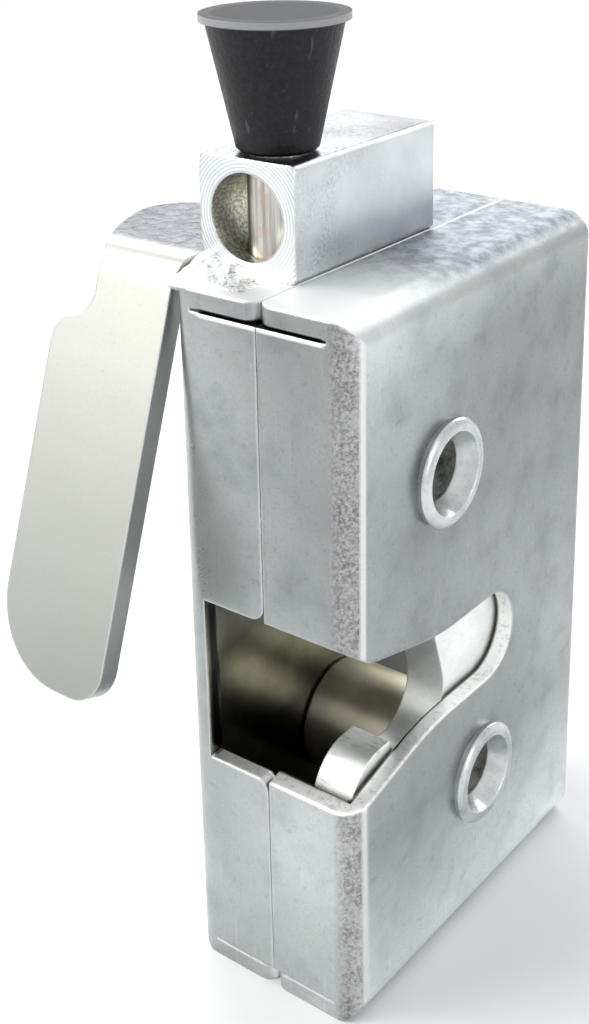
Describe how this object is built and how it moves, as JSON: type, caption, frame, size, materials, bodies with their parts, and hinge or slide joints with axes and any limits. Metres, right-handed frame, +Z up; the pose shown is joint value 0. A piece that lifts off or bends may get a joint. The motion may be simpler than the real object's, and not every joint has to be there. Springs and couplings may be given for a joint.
{
  "type": "cab door lock",
  "caption": "Rotary door latch: folded plate casing on hollow fixing tubes, a claw for a striker pin, a pawl, a pull knob, a square rod guide and a welded pull strip.",
  "frame": {"origin": "middle of the lower fixing bore, at the seam between the casing's halves", "axes": "+X towards the slotted side plate, along both fixing bores; +Y from the mouth to the rear; +Z up towards the knob"},
  "size_m": [0.0514, 0.0741, 0.1323],
  "materials": {
    "zinc_plated_sheet": "mottled zinc plating",
    "zinc_plated_steel": "zinc plating",
    "bare_steel": "turned",
    "spring_steel": "drawn wire",
    "weld_metal": "rough bead under plating",
    "black_plastic": "moulded, slightly grained"
  },
  "bodies": {
    "casing": {"left_shell": "zinc_plated_sheet", "right_shell": "zinc_plated_sheet", "upper_pivot_tube": "zinc_plated_steel", "lower_pivot_tube": "zinc_plated_steel", "upper_spacer": "bare_steel", "lower_spacer": "bare_steel", "spring_anchor": "bare_steel", "guide_block": "zinc_plated_steel", "block_weld": "weld_metal", "strip_weld": "weld_metal", "pull_strip": "zinc_plated_steel", "claw_spring": "spring_steel", "pawl_spring": "spring_steel"},
    "claw": {"claw": "zinc_plated_steel", "claw_peg": "bare_steel"},
    "pawl": {"pawl": "zinc_plated_steel", "pawl_peg": "bare_steel"},
    "pull": {"pull_pin": "bare_steel", "knob": "black_plastic", "lift_plate": "zinc_plated_steel", "link_rivet": "bare_steel"}
  },
  "joints": [
    {"name": "claw_turn", "type": "hinge", "parent": "casing", "child": "claw", "pos_m": [0, 0, 0], "axis": [1, 0, 0], "range_deg": [-42, 0], "stiffness_Nm_per_rad": 0.25, "springref_deg": 20.05, "deforming": ["claw_spring"]},
    {"name": "knob_pull", "type": "slide", "parent": "casing", "child": "pull", "axis": [0, 0, 1], "range_m": [0, 0.008], "stiffness_N_per_m": 300, "springref_m": -0.004},
    {"name": "pawl_turn", "type": "hinge", "parent": "casing", "child": "pawl", "pos_m": [0, -0.01, 0.051], "axis": [1, 0, 0], "range_deg": [0, 23.5], "stiffness_Nm_per_rad": 0.08, "springref_deg": -20.05, "deforming": ["pawl_spring"]}
  ],
  "couplings": [
    {"joint": "pawl_turn", "follows": "knob_pull", "rad_per_m": 51.2}
  ]
}
